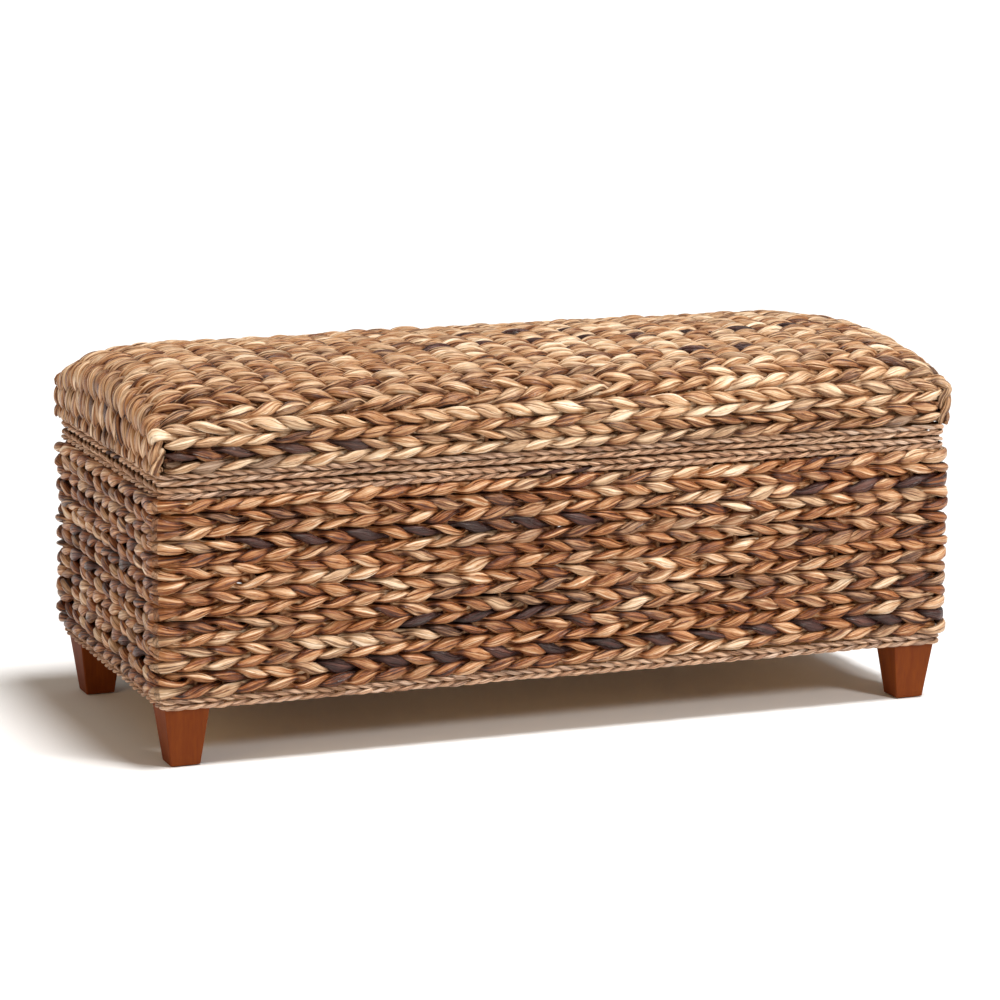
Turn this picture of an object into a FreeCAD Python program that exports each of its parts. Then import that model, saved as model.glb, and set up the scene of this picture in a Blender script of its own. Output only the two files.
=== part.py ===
import FreeCAD, Part
import math
import os
import re

# Wicker storage trunk: a softwood frame inside a thick woven skin, on four tapered feet,
# with a woven domed lid on two back hinges and a folding stay at each end.
# X runs along the length, Y from front to back and Z up. The origin is the middle of the
# footprint, on the ground. All sizes are in millimetres.

DIMENSIONS = {
    # overall size, over the weave
    "overall_length": 1048,
    "overall_depth": 464,
    "overall_height": 470,
    # heights of the body's underside and rim, and the gap under the lid
    "body_base": 73,
    "body_rim": 341.6,
    "lid_gap": 3,
    # woven skin
    "weave_thickness": 24,
    "weave_corner": 20,
    "trim_inset": 4,
    "trim_corner": 16,
    "bottom_trim_height": 14,
    "rim_trim_height": 15,
    "lid_trim_height": 15.4,
    "stake_radius": 2.5,
    "stake_corner_reach": 8.5,
    "long_stake_reach": 474,
    "short_stake_reach": 182,
    "long_stake_count": 28,
    "short_stake_count": 11,
    # dome of the lid
    "dome_crown": 21.7,
    "dome_drop": 34,
    "dome_end_shoulder": 142,
    "dome_side_shoulder": 67,
    # wooden frame
    "frame_thickness": 26,
    "bottom_rail_height": 30,
    "top_rail_height": 28,
    "lid_rail_height": 24,
    "floor_thickness": 9,
    "floor_play": 0.5,
    "batten_width": 30,
    "batten_height": 12,
    "batten_reach": 250,
    "rib_spacing": 300,
    "rib_width": 18,
    "rib_depth": 18,
    "rib_play": 0.5,
    "slat_reach": 455,
    "slat_width": 30,
    "slat_thickness": 8,
    # feet
    "foot_centre_x": 484,
    "foot_centre_y": 190,
    "foot_top_width": 56,
    "foot_bottom_width": 37,
    "foot_edge_radius": 2,
    "glide_thickness": 1.5,
    "glide_radius": 10,
    "bolt_radius": 4,
    "bolt_length": 90,
    "bolt_start": 30,
    # hinges
    "hinge_reach": 330,
    "hinge_width": 60,
    "hinge_axis_y": 227.5,
    "leaf_depth": 38,
    "leaf_thickness": 1.2,
    "knuckle_radius": 4,
    "knuckle_play": 0.3,
    "hinge_pin_radius": 2,
    "hinge_bore_radius": 2.05,
    "knuckle_room": 4.6,
    "screw_spacing": 20,
    "screw_setback": 28,
    "screw_head_radius": 3,
    "screw_hole_radius": 3.1,
    "screw_shank_radius": 1.6,
    "screw_length": 18,
    "pad_width": 18,
    # folding lid stays: places of the body pivot and the lid pivot, and thicknesses
    "stay_body_pivot_y": 146,
    "stay_body_pivot_z": 220,
    "stay_lid_pivot_y": 66,
    "stay_lid_pivot_z": 360,
    "stay_plate": 1.5,
    "stay_plate_width": 22,
    "stay_stand_off": 6,
    "arm_thickness": 2,
    "arm_gap": 0.5,
    "arm_half_width": 7,
    "pivot_radius": 3,
    "pivot_bore_radius": 3.05,
    "open_pivot_bore_radius": 3.4,
    "pivot_head_radius": 5,
    "pivot_head_height": 1.5,
    "pivot_play": 0.3,
}

# places worked out from the sheet, as expressions
HALF_LENGTH = "(overall_length / 2)"
HALF_DEPTH = "(overall_depth / 2)"
TRIM_X = "(overall_length / 2 - trim_inset)"
TRIM_Y = "(overall_depth / 2 - trim_inset)"
FRAME_X = "(overall_length / 2 - weave_thickness)"
FRAME_Y = "(overall_depth / 2 - weave_thickness)"
INNER_X = "(overall_length / 2 - weave_thickness - frame_thickness)"
INNER_Y = "(overall_depth / 2 - weave_thickness - frame_thickness)"
MIDWALL_X = "(overall_length / 2 - weave_thickness / 2)"
MIDWALL_Y = "(overall_depth / 2 - weave_thickness / 2)"
LID_BASE = "(body_rim + lid_gap)"
LID_WEAVE_BASE = "(body_rim + lid_gap + lid_trim_height)"
HINGE_Z = "(body_rim + lid_gap / 2)"
FLOOR_BASE = "(body_base + batten_height)"

SIDES_X = {"left": -1, "right": 1}
SIDES_Y = {"front": -1, "back": 1}

doc = FreeCAD.newDocument("wicker_storage_trunk")
dims = doc.addObject("Spreadsheet::Sheet", "dims")
for row, (alias, size) in enumerate(DIMENSIONS.items(), start=1):
    dims.set(f"A{row}", alias)
    dims.set(f"B{row}", str(size))
    dims.setAlias(f"B{row}", alias)
doc.recompute()

sub_parts = []


def value(expression):
    """The number that an expression of the sheet's aliases comes to."""
    return float(dims.evalExpression(expression))


def bind(piece, prop, expression):
    """Bind a property to an expression of the sheet's aliases."""
    piece.setExpression(prop, re.sub(r"\b([a-z][a-z_]+)\b", r"dims.\1", expression))


def node(label, piece):
    """Name a finished sub-part and list it for writing."""
    piece.Label = label
    sub_parts.append(piece)
    return piece


def span(side, near, far):
    """Low and high ends of a stretch from near to far of the centre, on the side given."""
    if side < 0:
        return f"-({far})", f"-({near})"
    return near, far


def size_box(box, spans):
    """Bind a box's three sides and its low corner to three spans."""
    for side, axis, (low, high) in zip(("Length", "Width", "Height"), "xyz", spans):
        bind(box, side, f"({high}) - ({low})")
        bind(box, f"Placement.Base.{axis}", low)


def block(name, x_span, y_span, z_span):
    """A box whose sides are three spans of expressions."""
    box = doc.addObject("Part::Box", name)
    size_box(box, (x_span, y_span, z_span))
    return box


def rod(name, along, start, radius, length):
    """A round bar along X or Z, from its start point."""
    bar = doc.addObject("Part::Cylinder", name)
    bind(bar, "Radius", radius)
    bind(bar, "Height", length)
    if along == "x":
        bar.Placement.Rotation = FreeCAD.Rotation(FreeCAD.Vector(0, 1, 0), 90)
    for axis, place in zip("xyz", start):
        bind(bar, f"Placement.Base.{axis}", place)
    return bar


def rod_between(name, x_span, y, z, radius):
    """A round bar along X that fills a span."""
    low, high = x_span
    return rod(name, "x", (low, y, z), radius, f"({high}) - ({low})")


def fused(name, pieces):
    if len(pieces) == 1:
        return pieces[0]
    joined = doc.addObject("Part::MultiFuse", name)
    joined.Shapes = pieces
    return joined


def grouped(name, pieces):
    group = doc.addObject("Part::Compound", name)
    group.Links = pieces
    return group


def cut(name, base, tool):
    remainder = doc.addObject("Part::Cut", name)
    remainder.Base = base
    remainder.Tool = tool
    return remainder


def upright_edges(shape, x_signs, y_signs):
    """Names of a shape's vertical edges at its own outer corners on the sides given."""
    box = shape.BoundBox
    names = []
    for index, edge in enumerate(shape.Edges, start=1):
        ends = [vertex.Point for vertex in edge.Vertexes]
        upright = len(ends) == 2 and math.hypot(ends[0].x - ends[1].x, ends[0].y - ends[1].y) < 1e-6
        if not upright:
            continue
        at_x = [s for s in x_signs if abs(ends[0].x - (box.XMin if s < 0 else box.XMax)) < 1e-6]
        at_y = [s for s in y_signs if abs(ends[0].y - (box.YMin if s < 0 else box.YMax)) < 1e-6]
        if at_x and at_y:
            names.append(f"Edge{index}")
    return names


def rounded_body(name, x_span, y_span, z_span, x_signs, y_signs, radius, pockets=()):
    """A box with rounded upright corners on the sides given, less its box-shaped pockets."""
    body = doc.addObject("PartDesign::Body", name)
    primitives = [("PartDesign::AdditiveBox", (x_span, y_span, z_span))]
    primitives += [("PartDesign::SubtractiveBox", pocket) for pocket in pockets]
    for index, (kind, spans) in enumerate(primitives):
        feature = body.newObject(kind, f"{name}_box_{index}")
        size_box(feature, spans)
        doc.recompute()
    corners = body.newObject("PartDesign::Fillet", f"{name}_corners")
    corners.Base = (feature, upright_edges(feature.Shape, x_signs, y_signs))
    bind(corners, "Radius", radius)
    body.Tip = corners
    return body


# Feet, glides and bolts

def tapered_foot(name, side_x, side_y):
    """A square foot that narrows evenly towards the ground, with softened long edges."""
    body = doc.addObject("PartDesign::Body", name)
    wedge = body.newObject("PartDesign::AdditiveWedge", f"{name}_taper")
    for prop, expression in (
        ("Ymin", "glide_thickness"),
        ("Ymax", "body_base"),
        ("Xmin", "-foot_bottom_width / 2"),
        ("Xmax", "foot_bottom_width / 2"),
        ("Zmin", "-foot_bottom_width / 2"),
        ("Zmax", "foot_bottom_width / 2"),
        ("X2min", "-foot_top_width / 2"),
        ("X2max", "foot_top_width / 2"),
        ("Z2min", "-foot_top_width / 2"),
        ("Z2max", "foot_top_width / 2"),
    ):
        bind(wedge, prop, expression)
    doc.recompute()
    long_edges = [
        f"Edge{index}"
        for index, edge in enumerate(wedge.Shape.Edges, start=1)
        if edge.BoundBox.YLength > 1
    ]
    softened = body.newObject("PartDesign::Fillet", f"{name}_edges")
    softened.Base = (wedge, long_edges)
    bind(softened, "Radius", "foot_edge_radius")
    body.Tip = softened
    body.Placement.Rotation = FreeCAD.Rotation(FreeCAD.Vector(1, 0, 0), 90)
    bind(body, "Placement.Base.x", f"{side_x} * foot_centre_x")
    bind(body, "Placement.Base.y", f"{side_y} * foot_centre_y")
    return body


glides = []
foot_bolts = []
for name_y, side_y in SIDES_Y.items():
    for name_x, side_x in SIDES_X.items():
        foot_name = f"foot_{name_y}_{name_x}"
        node(foot_name, tapered_foot(foot_name, side_x, side_y))
        centre = (f"{side_x} * foot_centre_x", f"{side_y} * foot_centre_y")
        glides.append(rod("glide", "z", (*centre, "0"), "glide_radius", "glide_thickness"))
        foot_bolts.append(rod("bolt", "z", (*centre, "bolt_start"), "bolt_radius", "bolt_length"))
node("foot_glides", grouped("glide_group", glides))
node("foot_bolts", grouped("bolt_group", foot_bolts))


# Wooden frame of the body

for name_y, side_y in SIDES_Y.items():
    for name_x, side_x in SIDES_X.items():
        post = block(
            "post",
            span(side_x, INNER_X, FRAME_X),
            span(side_y, INNER_Y, FRAME_Y),
            ("body_base", "body_rim"),
        )
        node(f"corner_post_{name_y}_{name_x}", post)


def rails(prefix, x_reach, z_span):
    """Two long rails that reach x_reach each way, and two short ones between them."""
    for name_y, side_y in SIDES_Y.items():
        long_rail = block(
            "long_rail", (f"-{x_reach}", x_reach), span(side_y, INNER_Y, FRAME_Y), z_span
        )
        node(f"{prefix}_{name_y}", long_rail)
    for name_x, side_x in SIDES_X.items():
        short_rail = block(
            "short_rail", span(side_x, INNER_X, FRAME_X), (f"-{INNER_Y}", INNER_Y), z_span
        )
        node(f"{prefix}_{name_x}", short_rail)


rails("bottom_rail", INNER_X, ("body_base", "body_base + bottom_rail_height"))
rails("top_rail", INNER_X, ("body_rim - top_rail_height", "body_rim"))

for name_x, side_x in SIDES_X.items():
    batten = block(
        "batten",
        span(side_x, "batten_reach - batten_width / 2", "batten_reach + batten_width / 2"),
        (f"-{INNER_Y}", INNER_Y),
        ("body_base", FLOOR_BASE),
    )
    node(f"floor_batten_{name_x}", batten)

floor_panel = block(
    "floor",
    (f"-{INNER_X} + floor_play", f"{INNER_X} - floor_play"),
    (f"-{INNER_Y} + floor_play", f"{INNER_Y} - floor_play"),
    (FLOOR_BASE, f"{FLOOR_BASE} + floor_thickness"),
)
node("floor_panel", floor_panel)


# Woven skin of the body: four walls, with the stakes that the weavers twist around

WALL_Z = ("body_base + bottom_trim_height", "body_rim - rim_trim_height")
for name_y, side_y in SIDES_Y.items():
    wall_name = f"body_weave_{name_y}"
    wall = rounded_body(
        wall_name,
        (f"-{HALF_LENGTH}", HALF_LENGTH),
        span(side_y, FRAME_Y, HALF_DEPTH),
        WALL_Z,
        (-1, 1),
        (side_y,),
        "weave_corner",
    )
    node(wall_name, wall)
for name_x, side_x in SIDES_X.items():
    wall = block(
        "end_wall", span(side_x, FRAME_X, HALF_LENGTH), (f"-{FRAME_Y}", FRAME_Y), WALL_Z
    )
    node(f"body_weave_{name_x}", wall)


def stake(x, y):
    """One upright stake, from the body's underside to just below its rim."""
    start = (x, y, "body_base + stake_radius")
    return rod("stake", "z", start, "stake_radius", "body_rim - body_base - 3 * stake_radius")


for name_y, side_y in SIDES_Y.items():
    row_y = f"{side_y} * {MIDWALL_Y}"
    count = int(value("long_stake_count"))
    stakes = [
        stake(f"long_stake_reach * ({2 * index - count + 1} / {count - 1})", row_y)
        for index in range(count)
    ]
    for side_x in SIDES_X.values():
        corner = (
            f"{side_x} * ({FRAME_X} + stake_corner_reach)",
            f"{side_y} * ({FRAME_Y} + stake_corner_reach)",
        )
        stakes.append(stake(*corner))
    node(f"body_stakes_{name_y}", grouped("stake_row", stakes))
for name_x, side_x in SIDES_X.items():
    row_x = f"{side_x} * {MIDWALL_X}"
    count = int(value("short_stake_count"))
    stakes = [
        stake(row_x, f"short_stake_reach * ({2 * index - count + 1} / {count - 1})")
        for index in range(count)
    ]
    node(f"body_stakes_{name_x}", grouped("stake_row", stakes))


# Thin corded trims: rings around the frame, notched where the hinge knuckles sit

def trim_ring(label, z_span, hinge_notch=None):
    hollow = ((f"-{FRAME_X}", FRAME_X), (f"-{FRAME_Y}", FRAME_Y), z_span)
    pockets = [hollow]
    if hinge_notch:
        for side_x in SIDES_X.values():
            notch_x = span(
                side_x,
                "hinge_reach - hinge_width / 2 - 1",
                "hinge_reach + hinge_width / 2 + 1",
            )
            pockets.append((notch_x, ("hinge_axis_y - knuckle_room", HALF_DEPTH), hinge_notch))
    ring = rounded_body(
        label,
        (f"-{TRIM_X}", TRIM_X),
        (f"-{TRIM_Y}", TRIM_Y),
        z_span,
        (-1, 1),
        (-1, 1),
        "trim_corner",
        pockets,
    )
    node(label, ring)


trim_ring("body_bottom_trim", ("body_base", "body_base + bottom_trim_height"))
trim_ring(
    "body_top_trim",
    ("body_rim - rim_trim_height", "body_rim"),
    (f"{HINGE_Z} - knuckle_room", "body_rim"),
)
trim_ring(
    "lid_trim",
    (LID_BASE, LID_WEAVE_BASE),
    (LID_BASE, f"{HINGE_Z} + knuckle_room"),
)


# Lid frame: four rails, three arched ribs and a ridge slat

rails("lid_rail", FRAME_X, (LID_BASE, f"{LID_BASE} + lid_rail_height"))

DOME_STEPS = 6


def dome_line(half_width, shoulder, crown, inset):
    """Points across the dome from one side to the other: a shallow crown between two
    elliptical shoulders, moved inwards by the inset. Each point is (sideways, height)."""
    half_width -= inset
    shoulder -= inset
    top = value("overall_height") - inset
    drop = value("dome_drop")
    flat = half_width - shoulder
    places = [flat * step / DOME_STEPS for step in range(DOME_STEPS)]
    falls = [0.0] * DOME_STEPS
    for step in range(DOME_STEPS + 1):
        turn = math.radians(90 * step / DOME_STEPS)
        places.append(flat + shoulder * math.sin(turn))
        falls.append(drop * (1 - math.cos(turn)))
    one_side = [
        (place, top - crown * (place / half_width) ** 2 - fall)
        for place, fall in zip(places, falls)
    ]
    return [(-place, height) for place, height in reversed(one_side[1:])] + one_side


def side_to_side(inset):
    return dome_line(
        value(HALF_DEPTH), value("dome_side_shoulder"), value("dome_crown"), inset
    )


def end_to_end(inset):
    return dome_line(value(HALF_LENGTH), value("dome_end_shoulder"), 0, inset)


def smooth_curve(points):
    curve = Part.BSplineCurve()
    curve.interpolate(points)
    return curve


def arched_rib(name, centre_x):
    """An arch under the dome, standing on the front and back lid rails."""
    body = doc.addObject("PartDesign::Body", name)
    sketch = body.newObject("Sketcher::SketchObject", f"{name}_arch")
    plane = [item for item in body.Origin.OriginFeatures if item.Role == "YZ_Plane"][0]
    sketch.AttachmentSupport = [(plane, "")]
    sketch.MapMode = "FlatFace"
    foot_height = value(f"{LID_BASE} + lid_rail_height")
    outer_inset = value("weave_thickness + rib_play")
    outer = [FreeCAD.Vector(y, z, 0) for y, z in side_to_side(outer_inset)]
    inner = [
        FreeCAD.Vector(y, z, 0) for y, z in side_to_side(outer_inset + value("rib_depth"))
    ]
    sketch.addGeometry(smooth_curve(outer))
    sketch.addGeometry(smooth_curve(inner))
    for end in (0, -1):
        outer_foot = FreeCAD.Vector(outer[end].x, foot_height, 0)
        inner_foot = FreeCAD.Vector(inner[end].x, foot_height, 0)
        sketch.addGeometry(Part.LineSegment(outer[end], outer_foot))
        sketch.addGeometry(Part.LineSegment(outer_foot, inner_foot))
        sketch.addGeometry(Part.LineSegment(inner_foot, inner[end]))
    pad = body.newObject("PartDesign::Pad", f"{name}_pad")
    pad.Profile = sketch
    pad.Midplane = True
    bind(pad, "Length", "rib_width")
    bind(body, "Placement.Base.x", centre_x)
    return body


for rib_name, centre_x in (
    ("lid_rib_left", "-rib_spacing"),
    ("lid_rib_middle", "0"),
    ("lid_rib_right", "rib_spacing"),
):
    node(rib_name, arched_rib(rib_name, centre_x))

SLAT_TOP = "(overall_height - weave_thickness - 2 * rib_play - rib_depth)"
ridge_slat = block(
    "slat",
    ("-slat_reach", "slat_reach"),
    ("-slat_width / 2", "slat_width / 2"),
    (f"{SLAT_TOP} - slat_thickness", SLAT_TOP),
)
node("lid_ridge_slat", ridge_slat)


# Woven skin of the lid: a domed shell, split where its five panels meet

def filled_outline(points, base, lift, direction):
    """The region from base up to a line of points, swept along a direction."""
    line = [lift(sideways, height) for sideways, height in points]
    low_end = lift(points[-1][0], base)
    low_start = lift(points[0][0], base)
    edges = [
        smooth_curve(line).toShape(),
        Part.makeLine(line[-1], low_end),
        Part.makeLine(low_end, low_start),
        Part.makeLine(low_start, line[0]),
    ]
    return Part.Face(Part.Wire(edges)).extrude(direction)


def dome_solid(inset):
    """Everything under the dome's surface moved inwards by the inset, down to the lid trim."""
    half_x = value(HALF_LENGTH) - inset
    half_y = value(HALF_DEPTH) - inset
    base = value(LID_WEAVE_BASE)
    crosswise = filled_outline(
        side_to_side(inset),
        base,
        lambda y, z: FreeCAD.Vector(-half_x, y, z),
        FreeCAD.Vector(2 * half_x, 0, 0),
    )
    lengthwise = filled_outline(
        end_to_end(inset),
        base,
        lambda x, z: FreeCAD.Vector(x, -half_y, z),
        FreeCAD.Vector(0, 2 * half_y, 0),
    )
    return crosswise.common(lengthwise)


def between(x_low, x_high, y_low, y_high):
    """A tall box over the lid that picks out one panel of the skin."""
    base = value(LID_WEAVE_BASE)
    corner = FreeCAD.Vector(x_low, y_low, base)
    return Part.makeBox(x_high - x_low, y_high - y_low, value("overall_height") - base + 1, corner)


def rounded_plan():
    """An upright block with the lid's outline and its rounded corners."""
    half_x = value(HALF_LENGTH)
    half_y = value(HALF_DEPTH)
    plan = between(-half_x, half_x, -half_y, half_y)
    upright = [edge for edge in plan.Edges if edge.BoundBox.ZLength > 1]
    return plan.makeFillet(value("weave_corner"), upright)


skin = dome_solid(0).cut(dome_solid(value("weave_thickness"))).common(rounded_plan())
out_x, out_y = value(HALF_LENGTH), value(HALF_DEPTH)
in_x, in_y = value(FRAME_X), value(FRAME_Y)
PANELS = {
    "lid_weave_top": (-in_x, in_x, -in_y, in_y),
    "lid_weave_front": (-out_x, out_x, -out_y, -in_y),
    "lid_weave_back": (-out_x, out_x, in_y, out_y),
    "lid_weave_left": (-out_x, -in_x, -in_y, in_y),
    "lid_weave_right": (in_x, out_x, -in_y, in_y),
}
for panel_name, limits in PANELS.items():
    panel = doc.addObject("Part::Feature", panel_name)
    panel.Shape = skin.common(between(*limits))
    panel.Placement = FreeCAD.Placement()
    node(panel_name, panel)


# Back hinges: a leaf on the body, a leaf on the lid and a pin through three knuckles

def from_hinge(side, low, high):
    """A span along X that is counted from the middle of the hinge on that side."""
    return f"{side} * hinge_reach + ({low})", f"{side} * hinge_reach + ({high})"


KNUCKLE_HALF = "hinge_width / 6 - knuckle_play / 2"
OUTER_KNUCKLE = ("hinge_width / 6 + knuckle_play / 2", "hinge_width / 2")
LEAF_EDGE = "hinge_axis_y - knuckle_room"
SCREW_Y = "(hinge_axis_y - screw_setback)"


def hinge_leaf(name, side, knuckles, z_span):
    """A flat leaf with its own knuckles, a bore for the pin and three screw holes."""
    half = "hinge_width / 2"
    solids = [
        block(
            "leaf",
            from_hinge(side, f"-{half}", half),
            ("hinge_axis_y - leaf_depth", LEAF_EDGE),
            z_span,
        )
    ]
    for low, high in knuckles:
        stretch = from_hinge(side, low, high)
        solids.append(block("web", stretch, (LEAF_EDGE, "hinge_axis_y"), z_span))
        solids.append(rod_between("knuckle", stretch, "hinge_axis_y", HINGE_Z, "knuckle_radius"))
    reach = from_hinge(side, f"-{half}", half)
    holes = [rod_between("bore", reach, "hinge_axis_y", HINGE_Z, "hinge_bore_radius")]
    for step in (-1, 0, 1):
        place = (f"{side} * hinge_reach + {step} * screw_spacing", SCREW_Y, z_span[0])
        holes.append(rod("screw_hole", "z", place, "screw_hole_radius", "leaf_thickness"))
    return cut(name, fused("leaf_solid", solids), fused("leaf_holes", holes))


body_leaf_z = ("body_rim", "body_rim + leaf_thickness")
lid_leaf_z = (f"{LID_BASE} - leaf_thickness", LID_BASE)
OUTER_LOW, OUTER_HIGH = OUTER_KNUCKLE
for name_x, side_x in SIDES_X.items():
    body_knuckles = [(f"-({OUTER_HIGH})", f"-({OUTER_LOW})"), OUTER_KNUCKLE]
    lid_knuckles = [(f"-({KNUCKLE_HALF})", KNUCKLE_HALF)]
    body_leaf = hinge_leaf("body_leaf", side_x, body_knuckles, body_leaf_z)
    node(f"hinge_body_leaf_{name_x}", body_leaf)
    lid_leaf = hinge_leaf("lid_leaf", side_x, lid_knuckles, lid_leaf_z)
    node(f"hinge_lid_leaf_{name_x}", lid_leaf)

pins = []
body_screws = []
lid_screws = []
for side_x in SIDES_X.values():
    pin_span = from_hinge(side_x, "-hinge_width / 2", "hinge_width / 2")
    pins.append(rod_between("pin", pin_span, "hinge_axis_y", HINGE_Z, "hinge_pin_radius"))
    for step in (-1, 0, 1):
        screw_x = f"{side_x} * hinge_reach + {step} * screw_spacing"
        place = (screw_x, SCREW_Y)
        down = [
            rod("head", "z", (*place, "body_rim"), "screw_head_radius", "leaf_thickness"),
            rod(
                "shank",
                "z",
                (*place, "body_rim - screw_length"),
                "screw_shank_radius",
                "screw_length",
            ),
        ]
        body_screws.append(fused("screw", down))
        up = [
            rod(
                "head",
                "z",
                (*place, f"{LID_BASE} - leaf_thickness"),
                "screw_head_radius",
                "leaf_thickness",
            ),
            rod("shank", "z", (*place, LID_BASE), "screw_shank_radius", "screw_length"),
        ]
        lid_screws.append(fused("screw", up))
node("hinge_pins", grouped("pin_group", pins))
node("hinge_body_screws", grouped("body_screw_group", body_screws))
node("hinge_lid_screws", grouped("lid_screw_group", lid_screws))

# Felt pads on the corner posts, which the closed lid rests on
pads = []
for side_y in SIDES_Y.values():
    for side_x in SIDES_X.values():
        pads.append(
            block(
                "pad",
                span(side_x, f"{FRAME_X} - pad_width - 3", f"{FRAME_X} - 3"),
                span(side_y, f"{FRAME_Y} - pad_width - 3", f"{FRAME_Y} - 3"),
                ("body_rim", LID_BASE),
            )
        )
node("lid_rest_pads", grouped("pad_group", pads))


# Folding lid stays. The lower arm is parallel to the line from the hinge to the lid pivot and the
# upper arm to the line from the hinge to the body pivot, so the four pivots make a parallelogram.

hinge_line = FreeCAD.Vector(0, value("hinge_axis_y"), value(HINGE_Z))
body_pivot = FreeCAD.Vector(0, value("stay_body_pivot_y"), value("stay_body_pivot_z"))
lid_pivot = FreeCAD.Vector(0, value("stay_lid_pivot_y"), value("stay_lid_pivot_z"))
elbow = body_pivot + lid_pivot - hinge_line

LOWER_FAR = "stay_stand_off"
LOWER_NEAR = "stay_stand_off + arm_thickness"
UPPER_FAR = f"{LOWER_NEAR} + arm_gap"
UPPER_NEAR = f"{UPPER_FAR} + arm_thickness"


def off_wall(side, near_wall, far_from_wall):
    """A span along X that is counted inwards from the frame's inner end face."""
    return span(side, f"{INNER_X} - ({far_from_wall})", f"{INNER_X} - ({near_wall})")


def flat_arm(name, side, start, end, layer, bores, rivet=None):
    """A round-ended flat bar from start to end. Its own Y axis runs along the bar."""
    length = (end - start).Length
    along = str(round(length, 6))
    reach = off_wall(side, *layer)
    solids = [
        block("bar", reach, ("0", along), ("-arm_half_width", "arm_half_width")),
        rod_between("bar_end", reach, "0", "0", "arm_half_width"),
        rod_between("bar_end", reach, along, "0", "arm_half_width"),
    ]
    if rivet:
        for stretch, radius in rivet:
            solids.append(rod_between("rivet", off_wall(side, *stretch), along, "0", radius))
    holes = [
        rod_between("bore", reach, along if at_end else "0", "0", radius)
        for at_end, radius in bores
    ]
    arm = cut(name, fused("bar_solid", solids), fused("bar_holes", holes))
    turn = math.degrees(math.atan2(end.z - start.z, end.y - start.y))
    arm.Placement = FreeCAD.Placement(
        FreeCAD.Vector(0, start.y, start.z), FreeCAD.Rotation(FreeCAD.Vector(1, 0, 0), turn)
    )
    return arm


def stay_bracket(name, side, pivot_y, pivot_z, plate_z, stud):
    """A plate on the frame's inner end face with a headed stud for an arm to turn on."""
    half = "stay_plate_width / 2"
    solids = [
        block(
            "plate",
            off_wall(side, "0", "stay_plate"),
            (f"{pivot_y} - {half}", f"{pivot_y} + {half}"),
            plate_z,
        )
    ]
    for near_wall, far_from_wall, radius in stud:
        stretch = off_wall(side, near_wall, far_from_wall)
        solids.append(rod_between("stud", stretch, pivot_y, pivot_z, radius))
    return fused(name, solids)


def pivot_head(last_layer):
    """The span of a head that holds an arm on, just past the arm's inner face."""
    return f"{last_layer} + pivot_play", f"{last_layer} + pivot_play + pivot_head_height"


def headed_stud(first_layer, last_layer):
    """A collar off the plate, a shank through the arm and a head, each (near, far, radius)."""
    head_near, head_far = pivot_head(last_layer)
    return [
        ("stay_plate", f"{first_layer} - pivot_play", "pivot_head_radius"),
        ("stay_plate", head_near, "pivot_radius"),
        (head_near, head_far, "pivot_head_radius"),
    ]


body_stud = headed_stud(LOWER_FAR, LOWER_NEAR)
lid_stud = headed_stud(UPPER_FAR, UPPER_NEAR)
elbow_rivet = [
    ((LOWER_FAR, pivot_head(UPPER_NEAR)[0]), "pivot_radius"),
    (pivot_head(UPPER_NEAR), "pivot_head_radius"),
]
body_brackets = []
lid_brackets = []
for name_x, side_x in SIDES_X.items():
    body_brackets.append(
        stay_bracket(
            "body_bracket",
            side_x,
            "stay_body_pivot_y",
            "stay_body_pivot_z",
            ("stay_body_pivot_z - stay_plate_width / 2", "body_rim - stay_plate"),
            body_stud,
        )
    )
    lid_brackets.append(
        stay_bracket(
            "lid_bracket",
            side_x,
            "stay_lid_pivot_y",
            "stay_lid_pivot_z",
            (f"{LID_BASE} + stay_plate", f"{LID_BASE} + lid_rail_height"),
            lid_stud,
        )
    )
    lower_arm = flat_arm(
        "lower_arm",
        side_x,
        body_pivot,
        elbow,
        (LOWER_FAR, LOWER_NEAR),
        [(False, "pivot_bore_radius")],
        elbow_rivet,
    )
    node(f"stay_lower_arm_{name_x}", lower_arm)
    upper_arm = flat_arm(
        "upper_arm",
        side_x,
        elbow,
        lid_pivot,
        (UPPER_FAR, UPPER_NEAR),
        [(False, "pivot_bore_radius"), (True, "open_pivot_bore_radius")],
    )
    node(f"stay_upper_arm_{name_x}", upper_arm)
node("stay_body_brackets", grouped("body_bracket_group", body_brackets))
node("stay_lid_brackets", grouped("lid_bracket_group", lid_brackets))

doc.recompute()

for item in doc.Objects:
    if "Invalid" in item.State or "Error" in item.State:
        raise RuntimeError(f"{item.Name} ({item.Label}) did not build: {item.State}")
for piece in sub_parts:
    if piece.Shape.isNull() or not piece.Shape.isValid():
        raise RuntimeError(f"{piece.Label} has no valid shape")

os.makedirs("parts", exist_ok=True)
for piece in sub_parts:
    piece.Shape.exportStep(os.path.join("parts", f"{piece.Label}.step"))
print(f"{len(sub_parts)} sub-parts written; elbow at y {elbow.y:.2f}, z {elbow.z:.2f}")
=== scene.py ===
import math

import bpy
import numpy as np
from mathutils import Matrix, Vector


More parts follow.
